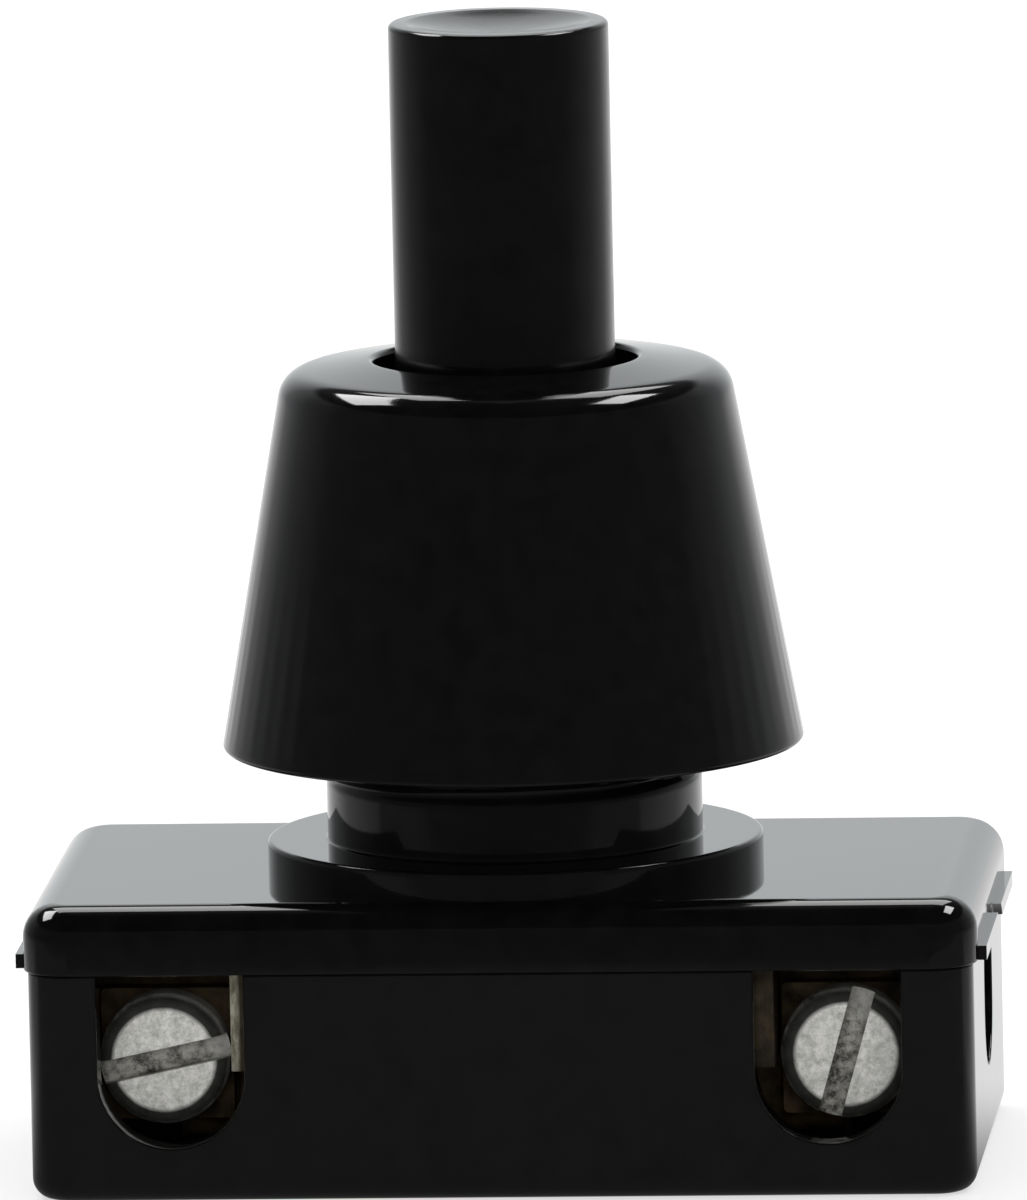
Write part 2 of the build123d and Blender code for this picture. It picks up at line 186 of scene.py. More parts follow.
def rounded_path(points, steps=7):
    """Closed outline through points (across, up, radius), each corner rounded by its radius."""
    path = []
    for index, (across, up, radius) in enumerate(points):
        here = Vector((across, up))
        if radius == 0:
            path.append(here)
            continue
        before = (Vector(points[index - 1][:2]) - here).normalized()
        after = (Vector(points[(index + 1) % len(points)][:2]) - here).normalized()
        half = before.angle(after) / 2
        centre = here + (before + after).normalized() * radius / math.sin(half)
        start = here + before * radius / math.tan(half) - centre
        end = here + after * radius / math.tan(half) - centre
        first = math.atan2(start.y, start.x)
        turn = math.atan2(end.y, end.x) - first
        turn = (turn + math.pi) % (2 * math.pi) - math.pi
        for step in range(steps + 1):
            angle = first + turn * step / steps
            path.append(centre + Vector((math.cos(angle), math.sin(angle))) * radius)
    return path


def refined(path, longest):
    """The same closed outline, with no run longer than a given length."""
    finer = []
    for index, start in enumerate(path):
        end = path[(index + 1) % len(path)]
        runs = max(1, math.ceil((end - start).length / longest))
        finer += [start.lerp(end, run / runs) for run in range(runs)]
    return finer


def lathe(name, path, segments, radius=None):
    """Solid turned from a closed outline of (radius, height). The radius may vary with angle."""
    rings = []
    for point in path:
        ring = []
        for segment in range(segments):
            angle = 2 * math.pi * segment / segments
            out = radius(point.x, point.y, angle) if radius else point.x
            ring.append((out * math.cos(angle), out * math.sin(angle), point.y))
        rings.append(ring)
    return solid(name, rings, loop=True)


def rounded_rectangle(length, depth, corner):
    """Outline of a rectangle with round corners, centred on the axis."""
    outline = []
    steps = 10
    for quarter, (side_x, side_y) in enumerate(((1, 1), (-1, 1), (-1, -1), (1, -1))):
        middle = Vector((side_x * (length / 2 - corner), side_y * (depth / 2 - corner)))
        for step in range(steps + 1):
            angle = math.pi / 2 * (quarter + step / steps)
            outline.append(middle + Vector((math.cos(angle), math.sin(angle))) * corner)
    return outline


def moulded_block(name, length, depth, corner, bottom, top, low_round, high_round):
    """Block with round corners and rounded lower and upper edges."""
    layers = []
    steps = 8
    arc = [math.pi / 2 * step / steps for step in range(steps + 1)]
    for angle in reversed(arc):
        height = bottom + low_round * (1 - math.sin(angle))
        layers.append((height, low_round * (1 - math.cos(angle))))
    for angle in arc:
        height = top - high_round * (1 - math.sin(angle))
        layers.append((height, high_round * (1 - math.cos(angle))))
    rings = []
    for height, inset in layers:
        outline = rounded_rectangle(length - 2 * inset, depth - 2 * inset, corner - inset)
        rings.append([(point.x, point.y, height) for point in outline])
    return solid(name, rings)


def block(low, high):
    """Plain block between two corners, used to add to or cut from a moulding."""
    rings = []
    for height in (low[2], high[2]):
        rings.append(
            [
                (low[0], low[1], height),
                (high[0], low[1], height),
                (high[0], high[1], height),
                (low[0], high[1], height),
            ]
        )
    return solid("block", rings)


def upright(outline, axis, place):
    """Ring of an outline (across, up), set square to X or Y at a place on that axis."""
    if axis == "X":
        return [(place, across, up) for across, up in outline]
    return [(across, place, up) for across, up in outline]


def prism(outline, start, end):
    """Prism of an outline (across, up), from start to end along X."""
    return solid("prism", [upright(outline, "X", place) for place in (start, end)])


def combine(base, tool, operation):
    """Adds, cuts or keeps what the two share, and deletes the tool."""
    step = base.modifiers.new("combine", "BOOLEAN")
    step.operation = operation
    step.solver = "EXACT"
    step.object = tool
    bpy.context.view_layer.update()
    graph = bpy.context.evaluated_depsgraph_get()
    result = bpy.data.meshes.new_from_object(base.evaluated_get(graph))
    base.modifiers.clear()
    base.data = result
    bpy.data.objects.remove(tool)
    return base


def notch_outline(centre_x, wider):
    """Round-bottomed notch, open upwards, widened by a given amount on each side."""
    half = notch_width / 2 + wider
    outline = [(centre_x + half, parting + 2), (centre_x - half, parting + 2)]
    steps = 24
    for step in range(steps + 1):
        angle = math.pi + math.pi * step / steps
        outline.append((centre_x + half * math.cos(angle), notch_z + half * math.sin(angle)))
    return outline


def entry_outline(wider):
    """Upright slot with round ends, widened by a given amount on each side."""
    half = entry_width / 2 + wider
    rise = (entry_height - entry_width) / 2
    outline = []
    steps = 16
    for end in (1, -1):
        for step in range(steps + 1):
            angle = math.pi * step / steps + (0 if end > 0 else math.pi)
            outline.append((half * math.cos(angle), entry_z + end * rise + half * math.sin(angle)))
    return outline


def flared(outline, axis, outer, inner, side):
    """Cutter whose mouth at the outer face is rounded over. Side is the way out, 1 or -1."""
    steps = 6
    layers = [(outer + side * 0.5, mouth_round)]
    for step in range(steps + 1):
        angle = math.pi / 2 * step / steps
        depth = mouth_round * (1 - math.cos(angle))
        layers.append((outer - side * depth, mouth_round * (1 - math.sin(angle))))
    layers.append((inner, 0))
    return solid("mouth", [upright(outline(wider), axis, place) for place, wider in layers])


def finish_shape(piece, crease=32):
    """Scales the piece to metres and shades it smooth between edges sharper than the crease."""
    form = bmesh.new()
    form.from_mesh(piece.data)
    bmesh.ops.remove_doubles(form, verts=form.verts, dist=2e-5)
    bmesh.ops.dissolve_degenerate(form, edges=form.edges, dist=1e-5)
    bmesh.ops.recalc_face_normals(form, faces=form.faces)
    limit = math.radians(crease)
    for face in form.faces:
        face.smooth = True
    for edge in form.edges:
        edge.smooth = len(edge.link_faces) == 2 and edge.calc_face_angle(0) < limit
    bmesh.ops.scale(form, vec=(MM, MM, MM), verts=form.verts)
    form.to_mesh(piece.data)
    form.free()
    even = piece.modifiers.new("even_shading", "WEIGHTED_NORMAL")
    even.keep_sharp = True
    return piece


# Pieces
def thread_wave(height, angle):
    """Depth share of the thread at a height and angle: 0 on the crest, 1 in the root."""
    turn = (height / thread_pitch - angle / (2 * math.pi)) % 1
    slope = abs(turn - 0.5) * 2
    return min(1, max(0, (0.85 - slope) / 0.7))


def neck_radius_at(radius, height, angle):
    """Radius of the neck with its thread, which fades out below the nut and at the top."""
    start = min(1, max(0, (height - thread_start) / 0.6))
    end = min(1, max(0, (neck_top - height) / 0.5))
    if radius < neck_radius - 0.01:
        return radius
    return radius - thread_depth * thread_wave(height, angle) * start * end


def flute(angle):
    """Depth share of the nut's faint uneven flutes at an angle."""
    along = angle + 0.012 * math.sin(7 * angle + 0.6)
    strength = 0.6 + 0.25 * math.sin(5 * angle) + 0.15 * math.sin(13 * angle + 2)
    return strength * (0.5 - 0.5 * math.cos(flute_count * along))


def nut_radius_at(radius, height, angle):
    """Radius of the nut with the thread in its bore and the flutes low on its outside."""
    foot = nut_low.z
    top = nut_high.z
    if abs(radius - nut_bore_radius) < 0.01 and height < top - nut_top_wall - 0.1:
        return radius + thread_depth * (1 - thread_wave(height, angle)) * (height > foot + 0.3)
    outer = radius > nut_bore_radius + 0.6
    below = min(1, max(0, (foot + 6.2 - height) / 3.5))
    above = min(1, max(0, (height - foot - 0.18) / 0.3))
    share = below * above
    if outer and share > 0:
        return radius - flute_depth * flute(angle) * share
    return radius


def make_nut():
    outline = rounded_path(
        [
            (nut_bore_radius, nut_low.z, 0.25),
            (nut_foot_radius, nut_low.z, 0.12),
            (nut_rim_radius, nut_high.z - nut_crown, 0.8),
            (nut_hole_radius, nut_high.z, 0.15),
            (nut_hole_radius, nut_high.z - nut_top_wall, 0.08),
            (nut_bore_radius, nut_high.z - nut_top_wall, 0),
        ],
        steps=9,
    )
    piece = lathe("fluted_nut", refined(outline, 0.16), flute_count * 5, nut_radius_at)
    return finish_shape(piece, crease=40)


def make_button():
    top = button_high.z
    pocket_radius = 1.85
    pocket_top = prong_root + 3.9
    dish_radius = 2.45
    dish_depth = 0.3
    dish_sphere = (dish_radius**2 + dish_depth**2) / (2 * dish_depth)
    dish = []
    steps = 10
    for step in range(steps + 1):
        across = dish_radius * step / steps
        drop = math.sqrt(dish_sphere**2 - across**2) - (dish_sphere - dish_depth)
        dish.append(Vector((across, top - drop)))
    rim_round = 0.14
    corner_steps = 6
    side = rounded_path(
        [
            (dish_radius, top, rim_round),
            (button_radius, top, rim_round),
            (button_radius, collar_top, 0),
            (collar_radius, collar_top, 0),
            (collar_radius, prong_root, 0),
            (pocket_radius, prong_root, 0),
            (pocket_radius, pocket_top, 0),
            (0, pocket_top, 0),
            (0, top - dish_depth, 0),
            (dish_radius * 0.5, top - dish_depth * 0.75, 0),
        ],
        steps=corner_steps,
    )
    # The dish takes the place of the outline's last two points
    piece = lathe("dished_button", dish[:-1] + side[:-2], 128)
    key_root = 2.7
    for side_x in (-1, 1):
        key = block(
            (min(side_x * key_root, side_x * key_reach), -key_width / 2, prong_root),
            (max(side_x * key_root, side_x * key_reach), key_width / 2, collar_top),
        )
        combine(piece, key, "UNION")
    for prong in range(prong_count):
        finish = math.radians(prong * 360 / prong_count)
        outline = []
        for reach, order in ((button_radius - 0.002, 1), (pocket_radius + 0.002, -1)):
            arc = [finish - math.radians(prong_angle) * step / 6 for step in range(7)][::order]
            outline += [(reach * math.cos(angle), reach * math.sin(angle)) for angle in arc]
        heights = (button_low.z, prong_root + 0.2)
        rings = [[(x, y, height) for x, y in outline] for height in heights]
        combine(piece, solid("prong", rings), "UNION")
    return finish_shape(piece)


def make_cover():
    piece = moulded_block(
        "moulded_cover",
        cover_length,
        cover_depth,
        cover_corner,
        parting,
        cover_top,
        parting_edge,
        cover_edge,
    )
    for side in (-1, 1):
        reach = side * cover_high.x
        root = side * (cover_length / 2 - 0.5)
        lip = block(
            (min(reach, root), -lip_length / 2, parting + 0.02),
            (max(reach, root), lip_length / 2, parting + lip_height),
        )
        combine(piece, lip, "UNION")
    hollow = moulded_block(
        "hollow", cavity_length, cavity_depth, cavity_corner, parting - 1, cover_ceiling, 0.01, 0.1
    )
    combine(piece, hollow, "DIFFERENCE")
    outline = rounded_path(
        [
            (0, cover_ceiling + 0.1, 0),
            (flange_radius, cover_ceiling + 0.1, 0),
            (flange_radius, flange_top, 0.1),
            (neck_radius, flange_top, 0.06),
            (neck_radius, neck_top - 0.4, 0),
            (neck_radius - 0.4, neck_top, 0.05),
            (0, neck_top, 0),
        ]
    )
    combine(piece, lathe("neck", refined(outline, 0.085), 160, neck_radius_at), "UNION")
    step_top = collar_top + collar_stop_gap
    for radius, top in ((guide_radius, neck_top + 1), (collar_bore_radius, step_top)):
        bore = rounded_path([(0, parting, 0), (radius, parting, 0), (radius, top, 0), (0, top, 0)])
        combine(piece, lathe("bore", bore, 96), "DIFFERENCE")
    slot = block(
        (-key_slot_reach, -key_slot_width / 2, parting),
        (key_slot_reach, key_slot_width / 2, step_top),
    )
    combine(piece, slot, "DIFFERENCE")
    for side in (-1, 1):
        outer = side * cover_length / 2
        inner = side * (cavity_length / 2 - 0.5)
        combine(piece, flared(entry_outline, "X", outer, inner, side), "DIFFERENCE")
    hook_face = cavity_depth / 2 - 0.1
    hook_bottom = parting - 2.4
    for place in (-hook_place, hook_place):
        for side in (-1, 1):
            outline = [
                (side * (hook_face - 0.7), cover_ceiling + 0.1),
                (side * (hook_face - 0.7), hook_bottom),
                (side * hook_face, hook_bottom),
                (side * (hook_face + 0.35), hook_bottom + 0.7),
                (side * hook_face, hook_bottom + 0.7),
                (side * hook_face, cover_ceiling + 0.1),
            ]
            hook = prism(outline, place - hook_width / 2, place + hook_width / 2)
            combine(piece, hook, "UNION")
    for side in (-1, 1):
        rib = block(
            (side * terminal_x - 0.7, washer_high.y, terminal_high.z + 0.1),
            (side * terminal_x + 0.7, washer_high.y + 0.8, cover_ceiling + 0.1),
        )
        combine(piece, rib, "UNION")
    return finish_shape(piece)


def make_box():
    piece = moulded_block(
        "moulded_box", box_length, box_depth, box_corner, 0, parting, box_edge, parting_edge
    )
    cavity = moulded_block(
        "cavity", cavity_length, cavity_depth, cavity_corner, box_floor, parting + 1, 0.1, 0.01
    )
    combine(piece, cavity, "DIFFERENCE")
    wall_outer = ear_outer - ear_thickness - 0.5
    wall_inner = wall_outer - 0.7
    window_half = 1.2 + 0.15
    for side in (-1, 1):
        near, far = sorted((side * wall_inner, side * wall_outer))
        wall = block(
            (near, -cavity_depth / 2 - 0.2, box_floor - 0.2),
            (far, cavity_depth / 2 + 0.2, parting),
        )
        window = block(
            (near - 0.1, -window_half, box_floor),
            (far + 0.1, window_half, box_floor + 0.95),
        )
        combine(wall, window, "DIFFERENCE")
        combine(piece, wall, "UNION")
        near, far = sorted((side * (cavity_length / 2 - 0.75), side * (cavity_length / 2 + 0.2)))
        rib = block(
            (near, washer_high.y + 0.8, box_floor - 0.2),
            (far, washer_high.y + 1.8, terminal_high.z),
        )
        combine(piece, rib, "UNION")
    boss_top = rotor_low.z - 0.25 - 0.1
    boss = rounded_path(
        [(0, box_floor - 0.2, 0), (1.4, box_floor - 0.2, 0), (1.4, boss_top, 0), (0, boss_top, 0)]
    )
    combine(piece, lathe("boss", boss, 48), "UNION")
    hole = rounded_path(
        [(0, box_floor - 0.6, 0), (0.61, box_floor - 0.6, 0), (0.61, parting, 0), (0, parting, 0)]
    )
    combine(piece, lathe("hole", hole, 32), "DIFFERENCE")
    for side in (-1, 1):
        front = -box_depth / 2
        mouth = flared(
            lambda wider: notch_outline(side * notch_x, wider), "Y", front, front + 1.3, -1
        )
        combine(piece, mouth, "DIFFERENCE")
        outer = side * box_length / 2
        inner = side * (cavity_length / 2 - 0.5)
        combine(piece, flared(entry_outline, "X", outer, inner, side), "DIFFERENCE")
        for place in (-hook_place, hook_place):
            near, far = sorted(side * (cavity_depth / 2 + reach) for reach in (-0.35, 0.35))
            pocket = block(
                (place - pocket_width / 2, near, parting - 2.5),
                (place + pocket_width / 2, far, parting - 1.6),
            )
            combine(piece, pocket, "DIFFERENCE")
    return finish_shape(piece)


def make_screw(name, side, slot_degrees):
    """Slotted screw along Y, with its head to the front."""
    low, high = corners("terminal_screw_" + name)
    head_radius = (high.x - low.x) / 2
    length = high.y - low.y
    shank_radius = 1.0
    outline = rounded_path(
        [
            (0, 0, 0),
            (head_radius, 0, 0.34),
            (head_radius, screw_head_height, 0.05),
            (shank_radius, screw_head_height, 0),
            (shank_radius, length - 0.2, 0),
            (shank_radius - 0.2, length, 0),
            (0, length, 0),
        ],
        steps=8,
    )

    def threaded(radius, height, angle):
        on_thread = screw_head_height + 0.75 <= height <= length - 0.2
        if abs(radius - shank_radius) > 0.01 or not on_thread:
            return radius
        turn = (height / screw_pitch - angle / (2 * math.pi)) % 1
        return radius - screw_thread_depth * (1 - abs(turn - 0.5) * 2)

    piece = lathe("slotted_screw_" + name, refined(outline, 0.06), 96, threaded)
    half_slot = screw_slot_width / 2
    slot = block((-3, -half_slot, -0.5), (3, half_slot, screw_slot_depth))
    combine(piece, slot, "DIFFERENCE")
    # Turn the head to the front: local +Z becomes +Y, then turn the slot about Y
    piece.data.transform(Matrix.Rotation(math.radians(-90), 4, "X"))
    piece.data.transform(Matrix.Rotation(math.radians(-slot_degrees), 4, "Y"))
    piece.data.transform(Matrix.Translation((side * terminal_x, low.y, terminal_z)))
    return finish_shape(piece)


def make_spring():
    """Coil of round wire, cut square at both ends."""
    wire = 0.175
    coil_radius = (spring_high.x - spring_low.x) / 2 - wire
    turns = 7
    around = 48
    rings = []
    height = spring_high.z - spring_low.z
    for step in range(turns * around + 1):
        share = step / (turns * around)
        angle = 2 * math.pi * turns * share
        out = Vector((math.cos(angle), math.sin(angle), 0))
        rise = spring_low.z + wire + (height - 2 * wire) * share
        middle = out * coil_radius + Vector((0, 0, rise))
        ring = []
        for point in range(10):
            turn = 2 * math.pi * point / 10
            place = middle + out * wire * math.cos(turn) + Vector((0, 0, wire * math.sin(turn)))
            ring.append(tuple(place))
        rings.append(ring)
    return finish_shape(solid("coil_spring", rings))


# Materials
def material(name):
    """New material with its node tree, its shader and object coordinates."""
    finish = bpy.data.materials.new(name)
    finish.use_nodes = True
    tree = finish.node_tree
    shader = tree.nodes["Principled BSDF"]
    place = tree.nodes.new("ShaderNodeTexCoord")
    return finish, tree, shader, place.outputs["Object"]


def noise(tree, place, per_mm, detail=3.0, stretch=(1, 1, 1), roughness=0.55):
    """Noise with a given number of grains per millimetre, stretched along an axis if asked."""
    mapping = tree.nodes.new("ShaderNodeMapping")
    mapping.inputs["Scale"].default_value = [per_mm / MM * share for share in stretch]
    tree.links.new(place, mapping.inputs["Vector"])
    texture = tree.nodes.new("ShaderNodeTexNoise")
    texture.inputs["Scale"].default_value = 1.0
    texture.inputs["Detail"].default_value = detail
    texture.inputs["Roughness"].default_value = roughness
    tree.links.new(mapping.outputs["Vector"], texture.inputs["Vector"])
    return texture.outputs["Fac"]


def ramp(tree, value, *stops):
    """Colour ramp of (position, colour) stops."""
    node = tree.nodes.new("ShaderNodeValToRGB")
    while len(node.color_ramp.elements) < len(stops):
        node.color_ramp.elements.new(0.5)
    for element, (position, colour) in zip(node.color_ramp.elements, stops):
        element.position = position
        element.color = (*colour, 1)
    tree.links.new(value, node.inputs["Fac"])
    return node.outputs["Color"]


def mixed(tree, share, first, second):
    """Colour between two colours."""
    node = tree.nodes.new("ShaderNodeMix")
    node.data_type = "RGBA"
    tree.links.new(share, node.inputs["Factor"])
    tree.links.new(first, node.inputs["A"])
    tree.links.new(second, node.inputs["B"])
    return node.outputs["Result"]


def separated(tree, vector):
    """X, Y and Z of a vector, by name."""
    node = tree.nodes.new("ShaderNodeSeparateXYZ")
    tree.links.new(vector, node.inputs["Vector"])
    return node.outputs


def arithmetic(tree, operation, *values):
    """Math node on sockets and numbers."""
    node = tree.nodes.new("ShaderNodeMath")
    node.operation = operation
    for place, value in zip(node.inputs, values):
        if isinstance(value, bpy.types.NodeSocket):
            tree.links.new(value, place)
        else:
            place.default_value = value
    return node.outputs["Value"]


def spread(tree, value, low, high, start=0.3, end=0.7):
    """Maps start to low and end to high. Start and end suit a noise unless they are given."""
    node = tree.nodes.new("ShaderNodeMapRange")
    node.inputs["From Min"].default_value = start
    node.inputs["From Max"].default_value = end
    node.inputs["To Min"].default_value = low
    node.inputs["To Max"].default_value = high
    tree.links.new(value, node.inputs["Value"])
    return node.outputs["Result"]


def bump(tree, value, microns, before=None):
    """Surface bumped by a value, on top of an earlier bump if there is one."""
    node = tree.nodes.new("ShaderNodeBump")
    node.inputs["Strength"].default_value = 1.0
    node.inputs["Distance"].default_value = microns * 1e-6
    tree.links.new(value, node.inputs["Height"])
    if before is not None:
        tree.links.new(before, node.inputs["Normal"])
    return node.outputs["Normal"]


def black_moulding(name, low_rough, high_rough, flow=0.0, peel=0.5):
    """Glossy black phenolic: mottled black, fine unevenness, and flow lines down the side."""
    finish, tree, shader, place = material(name)
    mottle = noise(tree, place, 1.6, detail=5)
    colour = ramp(tree, mottle, (0.3, (0.0014, 0.0013, 0.0014)), (0.7, (0.0032, 0.0029, 0.0029)))
    tree.links.new(colour, shader.inputs["Base Color"])
    handling = noise(tree, place, 0.55, detail=6, roughness=0.65)
    tree.links.new(spread(tree, handling, low_rough, high_rough), shader.inputs["Roughness"])
    surface = bump(tree, noise(tree, place, 2.2, detail=2), peel)
    surface = bump(tree, noise(tree, place, 14.0, detail=2), peel * 0.16, surface)
    if flow:
        streaks = noise(tree, place, 4.0, detail=3, stretch=(1, 1, 0.06))
        surface = bump(tree, streaks, flow, surface)
    tree.links.new(surface, shader.inputs["Normal"])
    shader.inputs["IOR"].default_value = 1.55
    return finish


def metal(name, dark, light, low_rough, high_rough):
    """Plated or bare metal with grain, uneven roughness and slight stains."""
    finish, tree, shader, place = material(name)
    stain = noise(tree, place, 1.1, detail=6, roughness=0.6)
    tree.links.new(ramp(tree, stain, (0.35, dark), (0.62, light)), shader.inputs["Base Color"])
    shader.inputs["Metallic"].default_value = 1.0
    grain = noise(tree, place, 9.0, detail=3)
    tree.links.new(spread(tree, grain, low_rough, high_rough), shader.inputs["Roughness"])
    tree.links.new(bump(tree, grain, 0.4), shader.inputs["Normal"])
    return finish


def screw_nickel():
    """Dull nickel plate: bright mottled head, a near-black rim that is a painted reflection of the
    dark notch, a slot darkened with dirt and painted shade, and a painted highlight at one end of
    the slot.
    """
    finish, tree, shader, place = material("nickel")
    axes = separated(tree, place)
    side = arithmetic(tree, "SIGN", axes["X"])
    across = arithmetic(tree, "MULTIPLY_ADD", side, -terminal_x * MM, axes["X"])
    up = arithmetic(tree, "SUBTRACT", axes["Z"], terminal_z * MM)
    from_axis = tree.nodes.new("ShaderNodeCombineXYZ")
    tree.links.new(across, from_axis.inputs["X"])
    tree.links.new(up, from_axis.inputs["Z"])
    radius = tree.nodes.new("ShaderNodeVectorMath")
    radius.operation = "LENGTH"
    tree.links.new(from_axis.outputs["Vector"], radius.inputs[0])
    # Painted reflection: the head's rounded rim is coloured near black, as if the dark notch walls
    # were mirrored in it.
    painted_rim_mask = spread(tree, radius.outputs["Value"], 0, 1, 1.30 * MM, 1.42 * MM)
    # Painted highlight: the slot floor is lighter towards its upper right end, as if it caught the
    # light there.
    diagonal = arithmetic(tree, "ADD", across, up)
    painted_glint = spread(tree, diagonal, 0, 1, 0.8 * MM, 1.8 * MM)
    # Deeper in the slot the colour turns dark: dirt and painted shade.
    slot_start = (screw_low.y + 0.1) * MM
    slot_deep = (screw_low.y + 0.3) * MM
    deep = spread(tree, axes["Y"], 0, 1, slot_start, slot_deep)
    shade = arithmetic(tree, "MAXIMUM", painted_rim_mask, deep)
    mottle = noise(tree, place, 3.4, detail=8, roughness=0.8)
    bright = ramp(tree, mottle, (0.36, (0.46, 0.46, 0.42)), (0.60, (0.93, 0.92, 0.88)))
    # Near-black tone of the rim's painted reflection of the dark notch.
    painted_rim_reflection = ramp(tree, mottle, (0.3, (0.012, 0.012, 0.011)), (0.7, (0.05, 0.05, 0.045)))
    # Slot floor tone, dark with light specks: dirt and painted shade.
    slot_dirt_and_shade = ramp(tree, mottle, (0.40, (0.03, 0.03, 0.027)), (0.58, (0.44, 0.43, 0.39)))
    # Lighter slot tone of the painted highlight.
    slot_glint_tone = ramp(tree, mottle, (0.3, (0.2, 0.2, 0.18)), (0.7, (0.62, 0.61, 0.57)))
    slot_tone = mixed(tree, painted_glint, slot_dirt_and_shade, slot_glint_tone)
    dark = mixed(tree, deep, painted_rim_reflection, slot_tone)
    tree.links.new(mixed(tree, shade, bright, dark), shader.inputs["Base Color"])
    shader.inputs["Metallic"].default_value = 0.25
    grain = noise(tree, place, 10.0, detail=3)
    tree.links.new(spread(tree, grain, 0.38, 0.58), shader.inputs["Roughness"])
    tree.links.new(bump(tree, grain, 1.2), shader.inputs["Normal"])
    return finish


def tarnished_shaded_brass():
    """Brass coloured dark brown for tarnish and painted shade, with a painted highlight along the
    front edge of the left ear, fading towards the bottom.
    """
    finish, tree, shader, place = material("brass")
    stain = noise(tree, place, 1.1, detail=6, roughness=0.6)
    # Dark brown base: tarnish, and painted shade for brass that sits deep in the notches.
    dark = ramp(tree, stain, (0.35, (0.016, 0.012, 0.007)), (0.66, (0.10, 0.07, 0.036)))
    # Painted highlight tone, streaked up and down, for the lit front edge of the left ear.
    streak = noise(tree, place, 5.0, detail=5, stretch=(1, 1, 0.3), roughness=0.7)
    ear_glint_tone = ramp(tree, streak, (0.35, (0.22, 0.20, 0.13)), (0.6, (0.74, 0.72, 0.58)))
    axes = separated(tree, place)

    def along(axis, low, high, start, end):
        return spread(tree, axes[axis], low, high, start * MM, end * MM)

    # Mask of the painted highlight: the front face of the left ear, fading towards the bottom.
    front = along("Y", 1, 0, terminal_low.y + 0.04, terminal_low.y + 0.3)
    left = along("X", 1, 0.04, 0.16 - ear_outer, 0.26 - ear_outer)
    glint_height_fade = along("Z", 0.15, 1, terminal_z - 1.2, terminal_z + 0.6)
    edge = arithmetic(tree, "MULTIPLY", left, glint_height_fade)
    painted_glint = arithmetic(tree, "MULTIPLY", front, edge)
    tree.links.new(mixed(tree, painted_glint, dark, ear_glint_tone), shader.inputs["Base Color"])
    shader.inputs["Metallic"].default_value = 0.6
    grain = noise(tree, place, 9.0, detail=3)
    tree.links.new(spread(tree, grain, 0.34, 0.6), shader.inputs["Roughness"])
    tree.links.new(bump(tree, grain, 0.5), shader.inputs["Normal"])
    return finish


def rotor_moulding():
    """Light brown moulded rotor with fine speckle."""
    finish, tree, shader, place = material("rotor_moulding")
    speckle = noise(tree, place, 7.0, detail=5)
    colour = ramp(tree, speckle, (0.3, (0.40, 0.33, 0.22)), (0.7, (0.66, 0.58, 0.43)))
    tree.links.new(colour, shader.inputs["Base Color"])
    tree.links.new(spread(tree, speckle, 0.35, 0.55), shader.inputs["Roughness"])
    tree.links.new(bump(tree, speckle, 0.8), shader.inputs["Normal"])
    return finish


def dress(piece, finish):
    """Gives a piece one material in place of any it had."""
    piece.data.materials.clear()
    piece.data.materials.append(finish)


housing_finish = black_moulding("housing_black", 0.03, 0.08)
nut_finish = black_moulding("nut_black", 0.05, 0.11, flow=0.9, peel=0.5)
button_finish = black_moulding("button_black", 0.1, 0.22, flow=0.8, peel=0.9)
nickel = screw_nickel()
brass = tarnished_shaded_brass()
silver = metal("silver", (0.62, 0.61, 0.58), (0.86, 0.85, 0.82), 0.22, 0.4)
steel = metal("spring_steel", (0.30, 0.30, 0.31), (0.52, 0.52, 0.53), 0.25, 0.42)
rotor_finish = rotor_moulding()

new_pieces = (
    (make_nut(), "ring_nut", "nut", "housing_black", nut_finish),
    (make_button(), "push_button", "button", "button_black", button_finish),
    (make_cover(), "top_cover", "housing", "housing_black", housing_finish),
    (make_box(), "base_box", "housing", "housing_black", housing_finish),
    (make_screw("left", -1, 12.0), "terminal_screw_left", "screw_left", "screw_nickel", nickel),
    (make_screw("right", 1, 74.0), "terminal_screw_right", "screw_right", "screw_nickel", nickel),
    (make_spring(), "return_spring", "housing", "spring_steel", steel),
)
for piece, node, body, slot_name, finish in new_pieces:
    dress(piece, finish)
    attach(piece, body)
    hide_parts(node)
    if node == "return_spring":
        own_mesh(piece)

for node, finish in (
    ("terminal_left", brass),
    ("terminal_right", brass),
    ("clamp_washer_left", brass),
    ("clamp_washer_right", brass),
    ("contact_leaf", brass),
    ("leaf_pin_left", brass),
    ("leaf_pin_right", brass),
    ("contact_rivet_left", silver),
    ("contact_rivet_right", silver),
    ("axle_pin", steel),
    ("spring_seat", steel),
    ("ratchet_rotor", rotor_finish),
):
    dress(nodes[node], finish)


# Stage
# Tone of the room in reflections, from straight in front (0) to straight behind (1)
room_tones = ((0.0, 0.05), (0.5, 0.07), (0.75, 0.2), (0.9, 0.4), (0.96, 0.8), (0.985, 1))


def facing_back(tree, direction):
    """Brightness of the surroundings by how far a direction turns from straight behind."""
    level = tree.nodes.new("ShaderNodeVectorMath")
    level.operation = "MULTIPLY"
    level.inputs[1].default_value = (1, 1, 0)
    tree.links.new(direction, level.inputs[0])
    unit = tree.nodes.new("ShaderNodeVectorMath")
    unit.operation = "NORMALIZE"
    tree.links.new(level.outputs["Vector"], unit.inputs[0])
    axes = separated(tree, unit.outputs["Vector"])
    share = tree.nodes.new("ShaderNodeMapRange")
    share.inputs["From Min"].default_value = -1.0
    tree.links.new(axes["Y"], share.inputs["Value"])
    return ramp(
        tree,
        share.outputs["Result"],
        *((position, (grey, grey, grey)) for position, grey in room_tones),
    )


